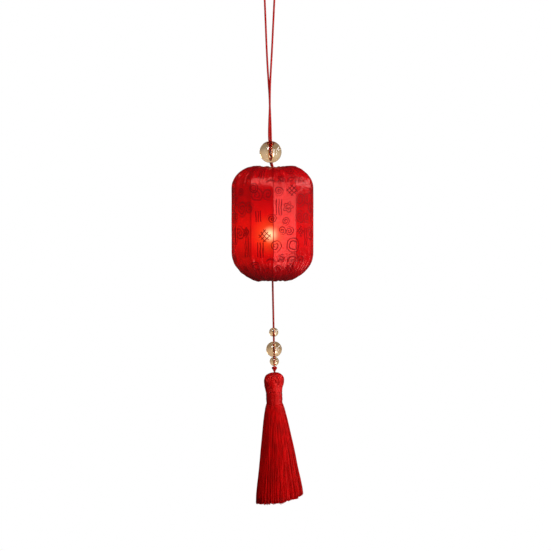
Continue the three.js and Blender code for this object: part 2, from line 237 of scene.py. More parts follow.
class Graph:
    """A material's nodes, with short calls for what the patterns are made of."""

    def __init__(self, name):
        self.material = bpy.data.materials.new(name)
        self.material.use_nodes = True
        self.tree = self.material.node_tree
        self.tree.nodes.clear()
        self.output = self.node("OutputMaterial")

    def node(self, kind, **settings):
        node = self.tree.nodes.new("ShaderNode" + kind)
        for key, value in settings.items():
            setattr(node, key, value)
        return node

    def put(self, socket, value):
        """Feeds a socket from another node's output, or sets its value."""
        if isinstance(value, bpy.types.NodeSocket):
            self.tree.links.new(value, socket)
        else:
            socket.default_value = value

    def math(self, operation, *values):
        node = self.node("Math", operation=operation)
        for socket, value in zip(node.inputs, values):
            self.put(socket, value)
        return node.outputs[0]

    def vector(self, operation, a, b):
        node = self.node("VectorMath", operation=operation)
        self.put(node.inputs[0], a)
        self.put(node.inputs[1], b)
        return node.outputs["Value" if operation == "DISTANCE" else "Vector"]

    def ramp(self, value, low, high, start=0.0, end=1.0):
        """A smooth change from start to end as value goes from low to high."""
        node = self.node("MapRange", interpolation_type="SMOOTHSTEP")
        for socket, x in zip(node.inputs, (value, low, high, start, end)):
            self.put(socket, x)
        return node.outputs[0]

    def mix(self, share, a, b):
        node = self.node("Mix", data_type="RGBA")
        self.put(node.inputs[0], share)
        self.put(node.inputs[6], a)
        self.put(node.inputs[7], b)
        return node.outputs[2]

    def noise(self, place, scale, detail=2.0):
        node = self.node("TexNoise")
        self.put(node.inputs["Vector"], place)
        node.inputs["Scale"].default_value = scale
        node.inputs["Detail"].default_value = detail
        return node.outputs[0]

    def object_place(self):
        return self.node("TexCoord").outputs["Object"]

    def uv(self):
        return self.node("UVMap", uv_map="UVMap").outputs[0]

    def split(self, vector):
        node = self.node("SeparateXYZ")
        self.put(node.inputs[0], vector)
        return node.outputs

    def join(self, x, y, z=0.0):
        node = self.node("CombineXYZ")
        for socket, value in zip(node.inputs, (x, y, z)):
            self.put(socket, value)
        return node.outputs[0]

    def bump(self, height, strength, distance, normal=None):
        node = self.node("Bump")
        node.inputs["Strength"].default_value = strength
        node.inputs["Distance"].default_value = distance
        self.put(node.inputs["Height"], height)
        if normal is not None:
            self.put(node.inputs["Normal"], normal)
        return node.outputs[0]

    def principled(self, **sockets):
        node = self.node("BsdfPrincipled")
        for name, value in sockets.items():
            self.put(node.inputs[name.replace("_", " ")], value)
        return node.outputs[0]

    def shader_mix(self, share, a, b):
        node = self.node("MixShader")
        self.put(node.inputs[0], share)
        self.put(node.inputs[1], a)
        self.put(node.inputs[2], b)
        return node.outputs[0]

    def finish(self, shader):
        self.put(self.output.inputs["Surface"], shader)
        return self.material

    def surface(self, **sockets):
        return self.finish(self.principled(**sockets))


def colour(r, g, b):
    """A linear colour from one given as 0 to 255 on a screen."""
    linear = [c / 255 / 12.92 if c <= 10 else ((c / 255 + 0.055) / 1.055) ** 2.4 for c in (r, g, b)]
    return (*linear, 1)


# ------------------------------------------------------------------ satin cover: its shape

RIBS = 11
FACET = TURN / RIBS
COVER_RADIUS = 26.35
SHOULDER_TOP = (11.95, 21.45)  # centre of the upper shoulder's arc: radius and height
SHOULDER_BOTTOM = (7.85, -18.05)
CREST_ROUND = 4.5
CREST_HEIGHT = 35.85
CREST_SAG = 0.7  # how much lower the cloth lies over the front and back of the crest
DIMPLE_SLOPE = 22
EYELET_EDGE = 2.8
LIP = [(8.4, -36.35), (8.2, -35.7)]
FACET_COLUMNS = 40
PLEAT_HEIGHT = 0.8
PLEAT_LIMIT = 1.3  # where pleats that lie on each other stop adding up
PLEAT_SINK = 0.65  # how far the cloth is drawn in where the pleats begin
SEAM_RIDGE = 0.34
SEAM_REACH = 2.2  # how far from a rib the glue puckers the cloth
WRINKLE = 0.28


def cover_profile():
    """The cover's outer line in mm about the lantern's centre, from the eyelet to the lower lip."""
    top_radius = COVER_RADIUS - SHOULDER_TOP[0]
    bottom_radius = COVER_RADIUS - SHOULDER_BOTTOM[0]
    crest_centre = (SHOULDER_TOP[0], SHOULDER_TOP[1] + top_radius - CREST_ROUND)
    crest = arc(*crest_centre, CREST_ROUND, 90 + DIMPLE_SLOPE, 90, 8)
    run = crest[0][0] - EYELET_EDGE
    fall = run * math.tan(math.radians(DIMPLE_SLOPE))
    shares = [i / 10 for i in range(10)]
    slope = [(EYELET_EDGE + run * t, crest[0][1] - fall * (1 - t)) for t in shares]
    shoulder = arc(*SHOULDER_TOP, top_radius, 90, 0, 34)[1:]
    wall_steps = 40
    wall_height = SHOULDER_TOP[1] - SHOULDER_BOTTOM[1]
    wall = [(COVER_RADIUS, SHOULDER_TOP[1] - wall_height * i / wall_steps) for i in range(1, wall_steps)]
    last_turn = math.degrees(math.acos((LIP[0][0] + 0.5 - SHOULDER_BOTTOM[0]) / bottom_radius))
    lower = arc(*SHOULDER_BOTTOM, bottom_radius, 0, -last_turn, 44)
    return slope + crest + shoulder + wall + lower + LIP


def running_lengths(profile):
    lengths = [0]
    for a, b in zip(profile, profile[1:]):
        lengths.append(lengths[-1] + math.dist(a, b))
    return lengths


PROFILE = cover_profile()
DOWN_PROFILE = running_lengths(PROFILE)
CLOTH_RUN = DOWN_PROFILE[-1]  # from the eyelet to the lip, over the ribs
CLOTH_WIDTH = TURN * COVER_RADIUS * 0.9865  # round the eleven flat sides
WALL_TOP = next(i for i, (r, z) in enumerate(PROFILE) if r > 20 and z <= SHOULDER_TOP[1] + 1e-6)
WALL_BOTTOM = next(i for i, (r, z) in enumerate(PROFILE) if r > 20 and z <= SHOULDER_BOTTOM[1] + 1e-6)
CREST = min(range(len(PROFILE)), key=lambda i: abs(PROFILE[i][1] - CREST_HEIGHT))
MIDDLE_V = 1 - (DOWN_PROFILE[WALL_TOP] + SHOULDER_TOP[1]) / CLOTH_RUN  # at the lantern's centre


def pleats(seed, per_facet, broad):
    """Folds that run out from a pole: each is (angle, width, depth, reach)."""
    rng = random.Random(seed)
    folds = []
    for facet in range(RIBS):
        for k in range(per_facet):
            share = (k + 0.5 + rng.uniform(-0.34, 0.34)) / per_facet
            width = rng.uniform(0.55, 1.0) * broad
            depth = rng.uniform(0.35, 1.0)
            reach = rng.uniform(0.2, 1.0)
            folds.append((FACET * (facet + share), width, depth, reach))
    return folds


TOP_PLEATS = pleats(3, 4, 1.0)
BOTTOM_PLEATS = pleats(8, 3, 1.5)


def fold_height(angle, r, along, folds, crowd):
    """How far the pleats lift the cloth, in mm, at a share along from the wall to the pole."""
    if along <= 0:
        return 0
    height = 0
    for middle, width, depth, reach in folds:
        off = abs((angle - middle + math.pi) % TURN - math.pi) * r
        spread = width * (0.5 + 0.9 * smoothstep(0, 1, along))
        if off < 3 * spread:
            start = 0.05 + 0.5 * (1 - reach)
            rise = smoothstep(start, min(1, start + 0.45), along)
            height += depth * rise * math.exp(-((off / spread) ** 2))
    sunk = PLEAT_SINK * smoothstep(0.1, 0.6, along)
    return (min(height, PLEAT_LIMIT) - sunk) * PLEAT_HEIGHT * crowd


def wrinkle_height(angle, r, z, shoulder):
    """The slack cloth over a shoulder: uneven streaks that run down it, in mm."""
    across = 0.42 * r
    place = Vector((across * math.cos(angle), across * math.sin(angle), 0.13 * z))
    coarse = noise.noise(place)
    fine = noise.noise(place * 2.3 + Vector((9, 4, 2)))
    return WRINKLE * (coarse + 0.4 * fine) * smoothstep(0.02, 0.3, shoulder)


def hem_drop(angle, down_share):
    """How far the gathered cloth hangs below its even line near the lower pole, in mm."""
    uneven = noise.noise(Vector((2.6 * math.cos(angle), 2.6 * math.sin(angle), 11))) - 0.35
    return uneven * smoothstep(0.5, 0.75, down_share) + 0.3 * smoothstep(0.8, 1, down_share)


def seam_height(angle, off, r, shoulder):
    """The puckered ridge where the cloth is glued over a rib, in mm."""
    beside = abs(off) * r
    if beside > SEAM_REACH:
        return 0
    rib = round(angle / FACET)
    pucker = 0.7 + 0.5 * noise.noise(Vector((rib * 7.3, shoulder * 9, off * r * 0.8)))
    crest = math.exp(-((beside / 0.5) ** 2))
    groove = 0.3 * math.exp(-(((beside - 1.25) / 0.5) ** 2))
    return SEAM_RIDGE * pucker * (crest - groove) * smoothstep(0, 0.25, shoulder)


def cover_point(angle, r, z, up_share, down_share):
    """A point of the cloth, in mm about the lantern's centre. Angle 0 is the front rib."""
    off = (angle + FACET / 2) % FACET - FACET / 2
    middle = FACET / 2 - abs(off)
    shoulder = max(up_share, down_share)
    flat = math.cos(FACET / 2) / math.cos(middle)
    flat += (1 - flat) * 0.5 * smoothstep(0.75, 1, shoulder)  # the gathered poles are nearly round
    slack = 1 - 0.006 * (1 - (middle / (FACET / 2)) ** 2) * (1 - shoulder)
    ripple = noise.noise(Vector((math.cos(angle) * 2.6, math.sin(angle) * 2.6, z * 0.07)))
    lift = fold_height(angle, r, up_share, TOP_PLEATS, min(1, r / 9))
    lift += fold_height(angle, r, down_share, BOTTOM_PLEATS, min(1, r / 12))
    lift += seam_height(angle, off, r, shoulder) * (1 - smoothstep(0.8, 1, shoulder))
    lift += wrinkle_height(angle, r, z, shoulder) * min(1, r / 14)
    sag = CREST_SAG * math.cos(angle) ** 4 * smoothstep(0.5, 0.95, up_share)
    slope_up = smoothstep(0.1, 0.9, shoulder)
    radius = r * flat * slack + 0.10 * ripple + lift * (1 - slope_up)
    height = z - sag + lift * slope_up * (0.75 if up_share > 0 else -1) - hem_drop(angle, down_share)
    return Vector((radius * math.sin(angle), -radius * math.cos(angle), height))


def add_cover(material):
    """The cloth, one sheet wrapped round the ribs with its glued seam at the back."""
    shape = Shape()
    rows = []
    uvs = []
    columns = RIBS * FACET_COLUMNS
    for (r, z), down in zip(PROFILE, DOWN_PROFILE):
        up_share = (DOWN_PROFILE[WALL_TOP] - down) / (DOWN_PROFILE[WALL_TOP] - DOWN_PROFILE[CREST])
        down_share = (down - DOWN_PROFILE[WALL_BOTTOM]) / (CLOTH_RUN - DOWN_PROFILE[WALL_BOTTOM])
        row = []
        for k in range(columns + 1):
            angle = (TURN * k / columns + math.pi) % TURN
            row.append(LANTERN + cover_point(angle, r, z, min(1, up_share), min(1, down_share)) * MM)
            uvs.append((k / columns, 1 - down / CLOTH_RUN))
        rows.append(row)
    shape.add_rows(rows, uvs, closed=False)
    cover = shape.piece("cover_cloth", material, "lantern", "satin")
    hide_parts("satin_cover")
    return cover


# ------------------------------------------------------------------ satin cover: its print

PRINT_COLUMNS = 3  # how often the print repeats round the lantern
PRINT_ROW = 50.0  # and how tall one repeat is
PRINT_WANDER = 3.0  # how far the printed lines stray, so that no repeat is exact
FINE_LINE = 0.6
BROAD_LINE = 1.1
BAR_PITCH = 1.6
PETAL_COUNT = 5.0

# Generic ornaments, each at (right, up) in mm from the front rib's middle, with its size.
SPIRALS = [
    (1.2, -14.8, 3.6, 1),
    (-1.0, 2.4, 2.5, -1),
    (3.4, 19.6, 2.8, 1),
    (8.0, 0.8, 2.6, 1),
    (10.8, -5.4, 2.6, -1),
    (5.8, -5.2, 2.4, 1),
    (-24.4, 19.4, 2.4, 1),
]
RINGS = [(13.2, -14.2, 4.3), (-13.0, 21.6, 3.0)]
LATTICES = [(12.4, 20.4, 2.9), (-5.8, -8.4, 3.1), (19.6, -5.6, 2.8)]
BARS = [(3.6, 9.6, 4.6), (25.6, -8.6, 5.0), (-8.6, -17.6, 4.6), (-18.4, -16.0, 6.0), (-9.8, 3.6, 3.0)]
PETALS = [(9.6, 9.4, 3.4), (-19.6, -6.0, 3.0), (5.4, -23.0, 2.6)]
CLOUDS = [
    (23.4, 14.2, 4.2, 1),
    (22.4, 3.4, 3.8, -1),
    (-7.0, 17.2, 4.2, -1),
    (-19.4, 8.6, 4.2, 1),
    (-21.6, -6.6, 3.8, -1),
    (2.0, -27.0, 4.4, 1),
    (17.6, -24.0, 4.2, -1),
]


class Print:
    """The printed pattern: how far a point of the cloth is from the nearest inked line."""

    def __init__(self, graph, x, y):
        self.graph = graph
        column = CLOTH_WIDTH / PRINT_COLUMNS
        place = graph.join(self.repeat(x, column), self.repeat(y, PRINT_ROW))
        wander = graph.node("TexNoise")
        wander.inputs["Scale"].default_value = 0.12
        graph.put(wander.inputs["Vector"], graph.join(x, y))
        shift = graph.vector("SUBTRACT", wander.outputs["Color"], (0.5, 0.5, 0.5))
        shift = graph.vector("MULTIPLY", shift, (PRINT_WANDER, PRINT_WANDER, 0.0))
        self.place = graph.vector("ADD", place, shift)
        self.nearest = None

    def repeat(self, value, length):
        return self.graph.math("WRAP", value, length / 2, -length / 2)

    def about(self, x, y):
        """The place seen from an ornament's centre: its x, its y and its distance."""
        across, up, _ = self.graph.split(self.graph.vector("SUBTRACT", self.place, (x, y, 0)))
        return across, up, self.graph.vector("DISTANCE", self.place, (x, y, 0))

    def take(self, distance):
        if self.nearest is None:
            self.nearest = distance
        else:
            self.nearest = self.graph.math("MINIMUM", self.nearest, distance)

    def spiral(self, x, y, size, way, turns=2.0):
        """A spiral whose line ends on its right after whole turns, or on its left after half ones."""
        g = self.graph
        across, up, reach = self.about(x, y)
        pitch = size / turns
        angle = g.math("ARCTAN2", up, across)
        line = g.math("MULTIPLY_ADD", angle, way * pitch / TURN, reach)
        near = g.math("PINGPONG", line, pitch / 2)
        self.take(g.math("MAXIMUM", near, g.math("SUBTRACT", reach, size)))

    def scroll(self, x, y, size, way):
        """Two spirals joined in an S, the right one smaller."""
        self.spiral(x - size, y, size, way, turns=2.0)
        self.spiral(x + size * 0.75, y, size * 0.75, way, turns=1.5)

    def ring(self, x, y, size):
        g = self.graph
        reach = self.about(x, y)[2]
        outer = g.math("ABSOLUTE", g.math("SUBTRACT", reach, size))
        inner = g.math("ABSOLUTE", g.math("SUBTRACT", reach, size * 0.6))
        self.take(g.math("MINIMUM", outer, inner))

    def lattice(self, x, y, size):
        g = self.graph
        across, up, _ = self.about(x, y)
        a = g.math("MULTIPLY", g.math("ADD", across, up), math.sqrt(0.5))
        b = g.math("MULTIPLY", g.math("SUBTRACT", across, up), math.sqrt(0.5))
        pitch = size * 2 / 3
        lines = g.math("MINIMUM", g.math("PINGPONG", a, pitch / 2), g.math("PINGPONG", b, pitch / 2))
        edge = g.math("MAXIMUM", g.math("ABSOLUTE", a), g.math("ABSOLUTE", b))
        self.take(g.math("MAXIMUM", lines, g.math("SUBTRACT", edge, size)))

    def bars(self, x, y, size):
        g = self.graph
        across, up, _ = self.about(x, y)
        lines = g.math("PINGPONG", across, BAR_PITCH / 2)
        over = g.math("SUBTRACT", g.math("ABSOLUTE", up), size)
        beside = g.math("SUBTRACT", g.math("ABSOLUTE", across), BAR_PITCH * 1.2)
        self.take(g.math("MAXIMUM", lines, g.math("MAXIMUM", over, beside)))

    def petals(self, x, y, size):
        g = self.graph
        across, up, reach = self.about(x, y)
        angle = g.math("ARCTAN2", up, across)
        wave = g.math("COSINE", g.math("MULTIPLY", angle, PETAL_COUNT))
        for share in (1, 0.5):
            outline = g.math("MULTIPLY_ADD", wave, size * share * 0.2, size * share * 0.8)
            self.take(g.math("ABSOLUTE", g.math("SUBTRACT", reach, outline)))

    def ink(self, line, soft):
        """How much ink there is: 1 on a line and 0 beside it."""
        return self.graph.ramp(self.nearest, line / 2 - soft, line / 2 + soft, 1.0, 0.0)


def fine_print(graph, x, y):
    """Thin drawn lines: spirals, rings, lattices, bars and petals."""
    pattern = Print(graph, x, y)
    drawn = (
        (pattern.spiral, SPIRALS),
        (pattern.ring, RINGS),
        (pattern.lattice, LATTICES),
        (pattern.bars, BARS),
        (pattern.petals, PETALS),
    )
    for draw, ornaments in drawn:
        for ornament in ornaments:
            draw(*ornament)
    return pattern.ink(FINE_LINE, 0.12)


def broad_print(graph, x, y):
    """Cloud scrolls in wide soft lines, as if woven into the satin."""
    pattern = Print(graph, x, y)
    for cloud in CLOUDS:
        pattern.scroll(*cloud)
    return pattern.ink(BROAD_LINE, 0.3)


# ------------------------------------------------------------------ materials

# The lamp's light through the cloth is painted on as emission: a band round the lantern, a patch to the
# front left and a bright hot spot in front.
GLOW_HEIGHT = -8.5  # where the cloth glows most, in mm from the lantern's centre
GLOW_FRONT = LANTERN + Vector((-6.5, -14.0, GLOW_HEIGHT)) * MM
PAINTED_BACKLIGHT = 0.06  # painted light: a steady glow for what would come through from the bright room behind
HOT_SPOT = LANTERN + Vector((-2.2, -26.0, -7.8)) * MM


def painted_lamp_glow(g, place):
    """The lamp's light through the cloth, painted on as emission: how strong it is and its colour."""
    z = g.split(place)[2]
    height = g.math("ABSOLUTE", g.math("SUBTRACT", z, LANTERN.z + GLOW_HEIGHT * MM))
    band = g.ramp(height, 0.0, 25 * MM, 1.0, 0.0)
    front = g.ramp(g.vector("DISTANCE", place, GLOW_FRONT), 8 * MM, 27 * MM, 1.0, 0.0)
    wide = g.math("MULTIPLY_ADD", band, 0.17, g.math("MULTIPLY", front, 0.30))
    from_spot = g.vector("DISTANCE", place, HOT_SPOT)
    core = g.ramp(from_spot, 0.4 * MM, 6.4 * MM, 1.0, 0.0)
    halo = g.ramp(from_spot, 2 * MM, 15 * MM, 1.0, 0.0)
    power = g.math("ADD", wide, g.math("MULTIPLY_ADD", core, 0.9, g.math("MULTIPLY", halo, 0.2)))
    tone = g.mix(halo, colour(255, 30, 14), colour(255, 100, 40))
    tone = g.mix(core, tone, colour(255, 232, 176))
    return power, tone


def satin_weave(g, x, y, streaks):
    """The height of the crossing threads."""
    warp = g.node("TexWave", wave_type="BANDS", bands_direction="X")
    g.put(warp.inputs["Vector"], g.join(x, 0.0))
    warp.inputs["Scale"].default_value = 1.6
    weft = g.node("TexWave", wave_type="BANDS", bands_direction="Y")
    g.put(weft.inputs["Vector"], g.join(0.0, y))
    weft.inputs["Scale"].default_value = 0.9
    weave = g.math("MULTIPLY_ADD", weft.outputs[1], 0.4, warp.outputs[1])
    return g.math("MULTIPLY_ADD", streaks, 0.8, weave)


def satin_material():
    """Printed satin with a lamp behind it: warp threads, a darker print, the lamp's warm glow painted on
    as emission, and painted shade along the ribs and near the gathered poles.
    """
    g = Graph("satin")
    place = g.object_place()
    u, v, _ = g.split(g.uv())
    x = g.math("MULTIPLY", g.math("SUBTRACT", u, 0.5), CLOTH_WIDTH)
    y = g.math("MULTIPLY", g.math("SUBTRACT", v, MIDDLE_V), CLOTH_RUN)
    fine = fine_print(g, x, y)
    broad = broad_print(g, x, y)
    # Painted shadow of each rib on the cloth: a thin dark line, faint in the cloth's colour and strong
    # in its painted glow.
    from_rib = g.math("PINGPONG", x, CLOTH_WIDTH / RIBS / 2)
    rib = g.ramp(from_rib, 0.2, 0.55, 1.0, 0.0)
    seam = g.ramp(g.math("ABSOLUTE", x), CLOTH_WIDTH / 2 - 3.3, CLOTH_WIDTH / 2 - 3.1)

    # Painted shade near both poles, where the cloth is gathered: a darker red, a dimmer painted glow,
    # the dull dark ink shader over half the cloth and darker light through it.
    gathered = g.ramp(g.math("ABSOLUTE", g.math("SUBTRACT", y, 2.0)), 26.0, 44.0)
    streaks = g.noise(g.join(x, g.math("MULTIPLY", y, 0.04)), 2.2, 3.0)
    slubs = g.noise(g.join(x, g.math("MULTIPLY", y, 0.07)), 0.75)
    cloudy = g.noise(place, 90.0)
    red = g.mix(g.ramp(streaks, 0.3, 0.7), colour(133, 0, 6), colour(149, 0, 8))
    red = g.mix(g.ramp(cloudy, 0.35, 0.7), red, colour(120, 0, 5))
    # Painted rib shadow: a slightly darker red along each rib.
    red = g.mix(g.math("MULTIPLY", rib, 0.12), red, colour(76, 0, 4))
    red = g.mix(g.math("MULTIPLY", seam, 0.4), red, colour(95, 0, 6))
    # Painted shade: the red darkens towards the gathered poles.
    red = g.mix(g.math("MULTIPLY", gathered, 0.7), red, colour(104, 0, 5))

    power, tone = painted_lamp_glow(g, place)
    # The painted glow is dimmed under the print, along the painted rib shadows, at the seam and in the
    # painted shade at the poles, and the painted backlight is added.
    lines = g.math("MAXIMUM", fine, g.math("MULTIPLY", broad, 0.6))
    shade = g.math("MAXIMUM", g.math("MULTIPLY", lines, 0.8), g.math("MULTIPLY", rib, 0.75))
    shade = g.math("MAXIMUM", shade, g.math("MULTIPLY", seam, 0.5))
    shade = g.math("MAXIMUM", shade, g.math("MULTIPLY", gathered, 0.8))
    power = g.math("MULTIPLY", g.math("ADD", power, PAINTED_BACKLIGHT), g.math("SUBTRACT", 1.0, shade))

    wrinkles = g.noise(g.join(x, g.math("MULTIPLY", y, 0.35)), 0.42, 3.0)
    shoulder = g.ramp(g.math("ABSOLUTE", y), 15.0, 26.0)
    puckers = g.math("MULTIPLY", wrinkles, shoulder)
    normal = g.bump(puckers, 0.6, 1.9 * MM)
    normal = g.bump(satin_weave(g, x, y, streaks), 0.18, 0.05 * MM, normal)
    gloss = g.math("MULTIPLY_ADD", slubs, 0.2, 0.13)
    cloth = g.principled(
        Base_Color=red,
        Roughness=g.math("MULTIPLY_ADD", broad, 0.12, gloss),
        Specular_IOR_Level=1.0,
        Specular_Tint=(1.0, 0.2, 0.18, 1),
        Anisotropic=0.4,
        Sheen_Weight=0.03,
        Sheen_Roughness=0.35,
        Sheen_Tint=(1.0, 0.1, 0.08, 1),
        Emission_Color=tone,
        Emission_Strength=power,
        Normal=normal,
    )
    ink = g.principled(
        Base_Color=g.mix(streaks, colour(75, 0, 4), colour(92, 0, 6)),
        Roughness=0.6,
        Specular_IOR_Level=0.1,
        Specular_Tint=(1.0, 0.2, 0.2, 1),
        Emission_Color=tone,
        Emission_Strength=g.math("MULTIPLY", power, 0.5),
        Normal=normal,
    )
    inked = g.math("MAXIMUM", g.math("MULTIPLY", fine, 0.92), g.math("MULTIPLY", broad, 0.75))
    # Painted shade at the poles: the dark, dull ink shader takes half the cloth there.
    inked = g.math("MAXIMUM", inked, g.math("MULTIPLY", gathered, 0.5))
    cloth = g.shader_mix(inked, cloth, ink)
    through = g.node("BsdfTranslucent")
    # Less light passes through the print, and through the poles as painted shade.
    dense = g.math("MAXIMUM", lines, gathered)
    g.put(through.inputs["Color"], g.mix(dense, colour(235, 6, 6), colour(110, 0, 2)))
    cloth = g.shader_mix(0.3, cloth, through.outputs[0])
    clear = g.node("BsdfTransparent")
    g.put(clear.inputs["Color"], colour(255, 120, 70))
    return g.finish(g.shader_mix(0.04, cloth, clear.outputs[0]))


def cord_material(name, light, dark, twists):
    """Twisted silk cord: slanting plies, lighter on their backs and darker in the grooves between them
    as painted shade, with some darker fibres.
    """
    g = Graph(name)
    u, v, _ = g.split(g.uv())
    slant = g.math("MULTIPLY_ADD", u, float(twists), g.math("MULTIPLY", v, 0.4))
    ply = g.math("PINGPONG", slant, 0.5)
    fibres = g.noise(g.join(g.math("MULTIPLY", slant, 14.0), g.math("MULTIPLY", v, 0.6)), 1.0, 3.0)
    # Painted shade: dark in the grooves between the plies, light on their backs.
    shade = g.mix(g.ramp(ply, 0.05, 0.4), colour(*dark), colour(*light))
    shade = g.mix(g.ramp(fibres, 0.4, 0.75, 0.0, 0.25), shade, colour(*dark))
    return g.surface(
        Base_Color=shade,
        Roughness=g.ramp(fibres, 0.3, 0.7, 0.5, 0.68),
        Specular_IOR_Level=0.3,
        Specular_Tint=(1.0, 0.2, 0.15, 1),
        Sheen_Weight=0.05,
        Sheen_Roughness=0.4,
        Sheen_Tint=(1.0, 0.25, 0.18, 1),
        Normal=g.bump(fibres, 0.2, 0.08 * MM),
    )


def thread_material(name, light, dark, gloss, smooth):
    """Rayon thread: fine streaks along the thread and uneven dye from thread to thread."""
    g = Graph(name)
    u, v, _ = g.split(g.uv())
    fine = g.noise(g.join(g.math("MULTIPLY", u, 5.0), g.math("MULTIPLY", v, 0.25)), 2.0)
    drawn_out = g.vector("MULTIPLY", g.object_place(), (900.0, 900.0, 14.0))
    strands = g.noise(drawn_out, 1.0)
    shade = g.mix(g.ramp(strands, 0.32, 0.68), colour(*dark), colour(*light))
    return g.surface(
        Base_Color=shade,
        Roughness=g.ramp(fine, 0.3, 0.7, smooth, smooth + 0.16),
        Specular_IOR_Level=gloss,
        Specular_Tint=(1.0, 0.06, 0.05, 1),
        Anisotropic=0.6,
        Normal=g.bump(fine, 0.2, 0.08 * MM),
    )


def bead_material():
    """Champagne-tinted clear glass, with faint swirls and a wavy hand-polished surface."""
    g = Graph("champagne_glass")
    place = g.object_place()
    swirl = g.noise(place, 160.0)
    tint = g.mix(g.ramp(swirl, 0.3, 0.7), colour(246, 214, 172), colour(232, 184, 132))
    wavy = g.noise(place, 320.0, 1.0)
    return g.surface(
        Base_Color=tint,
        Roughness=0.03,
        IOR=1.5,
        Transmission_Weight=1.0,
        Normal=g.bump(wavy, 0.12, 0.2 * MM),
    )


def wire_material():
    """Drawn spring wire: bright, with fine rings of drawing marks."""
    g = Graph("spring_wire")
    marks = g.noise(g.object_place(), 2600.0, 3.0)
    shade = g.mix(marks, colour(118, 120, 124), colour(176, 178, 182))
    return g.surface(
        Base_Color=shade,
        Metallic=1.0,
        Roughness=g.ramp(marks, 0.3, 0.7, 0.25, 0.45),
        Normal=g.bump(marks, 0.15, 0.05 * MM),
    )


def metal_material(name, light, dark, polish):
    """Plated or plain metal with slight tarnish and fine scratches."""
    g = Graph(name)
    place = g.object_place()
    tarnish = g.noise(place, 420.0, 3.0)
    scratches = g.noise(place, 3200.0)
    return g.surface(
        Base_Color=g.mix(g.ramp(tarnish, 0.35, 0.75), colour(*light), colour(*dark)),
        Metallic=1.0,
        Roughness=g.ramp(scratches, 0.3, 0.7, polish, polish + 0.18),
        Normal=g.bump(scratches, 0.1, 0.03 * MM),
    )


def plastic_material(name, light, dark, roughness):
    """Moulded plastic: a fine spark-eroded grain and a little flow shading."""
    g = Graph(name)
    place = g.object_place()
    flow = g.noise(place, 140.0)
    grain = g.noise(place, 5200.0)
    return g.surface(
        Base_Color=g.mix(g.ramp(flow, 0.3, 0.7), colour(*light), colour(*dark)),
        Roughness=g.ramp(grain, 0.3, 0.7, roughness - 0.05, roughness + 0.1),
        Normal=g.bump(grain, 0.12, 0.03 * MM),
    )


def lit_material(name, tone, strength):
    """A lit diffuser: brightest round the LED and a little dimmer towards its foot."""
    g = Graph(name)
    place = g.object_place()
    z = g.split(place)[2]
    height = g.ramp(z, LANTERN.z - 15 * MM, LANTERN.z - 5 * MM, 0.45, 1.0)
    mottled = g.noise(place, 700.0)
    patches = g.ramp(mottled, 0.2, 0.8, 0.85, 1.1)
    power = g.math("MULTIPLY", g.math("MULTIPLY", height, strength), patches)
    return g.surface(
        Base_Color=colour(250, 236, 208),
        Roughness=g.ramp(mottled, 0.3, 0.7, 0.45, 0.6),
        Emission_Color=colour(*tone),
        Emission_Strength=power,
    )


def floor_material():
    """Pale and even where it is seen, and dim to the rays that would throw grey up at the satin."""
    g = Graph("pale_floor")
    speckle = g.noise(g.object_place(), 30.0, 3.0)
    shade = g.mix(speckle, colour(236, 235, 233), colour(241, 240, 238))
    rays = g.node("LightPath").outputs
    through_glass = g.math("MULTIPLY", rays["Is Transmission Ray"], 0.42)
    seen = g.node("Emission")
    g.put(seen.inputs["Color"], shade)
    g.put(seen.inputs["Strength"], g.math("MAXIMUM", rays["Is Camera Ray"], through_glass))
    share = g.math("MAXIMUM", rays["Is Camera Ray"], rays["Is Transmission Ray"])
    dim = g.principled(Base_Color=colour(90, 89, 88), Roughness=0.8)
    return g.finish(g.shader_mix(share, dim, seen.outputs[0]))


# ------------------------------------------------------------------ cords

CORD = 1.2 * MM
CORD_HOLE = 0.95 * MM

# The loop's route, as in the CAD: height, middle of the pair in x, half the distance between
# the strands and the turn of the pair in degrees.
STRAND_ROWS = [
    (-122.65, 1.95, 0.62, -60),
    (-121.2, 1.55, 0.62, -56),
    (-119.5, 1.08, 0.62, -52),
    (-117.5, 0.86, 0.62, -47),
    (-112.0, 0.62, 0.62, -31),
    (-105.0, 0.36, 0.62, -12),
    (-101.0, 0.24, 0.62, 2),
    (-94.0, 0.2, 0.62, 42),
    (-88.5, 0.2, 0.62, 67),
    (-82.5, 0.17, 0.62, 90),
    (-76.0, 0.06, 0.62, 103),
    (-70.5, -0.05, 0.64, 130),
    (-65.0, -0.12, 0.72, 168),
    (-58.0, -0.15, 1.12, 180),
    (-46.0, -0.12, 1.74, 180),
    (-30.0, -0.05, 2.44, 180),
    (-14.0, 0, 3.17, 180),
    (-5.5, 0, 3.68, 180),
]
LOOP_TOP = [(-3.05, -1.4), (0, 0.6), (3.05, -1.4)]
LOWER_ROUTE = [0.4, 2, 4.5, 7.5, 11, 15, 19, 23, 27, 31, 35, 39, 43, 47, 50.5, 53, 54.4]


def strand(side):
    """One strand's points, bottom first: side is -1 for the one that starts on the left."""
    points = []
    for z, middle, half, turn in STRAND_ROWS:
        across = side * half * math.cos(math.radians(turn))
        deep = side * half * math.sin(math.radians(turn))
        points.append(Vector((middle + across, deep, z)) * MM)
    return points


def plied(diameter, pitch, plies=3):
    """The outline of a twisted cord: how far it reaches at a distance and an angle."""

    def reach(distance, angle):
        lobe = abs(math.cos(plies / 2 * (angle - TURN * distance / pitch)))
        return diameter / 2 * (0.98 + 0.07 * lobe**0.7)

    return reach


def add_loop_cord(material):
    over = [Vector((-x, 0, z)) * MM for x, z in LOOP_TOP]
    path = smooth_path([*strand(-1), *over, *strand(1)[::-1]], 0.3 * MM)
    shape = Shape()
    shape.add_tube(path, plied(CORD, 2.6 * MM), 18)
    cord = shape.piece("loop_cord", material, "loop", "cord")
    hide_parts("hanging_loop")
    return cord, path


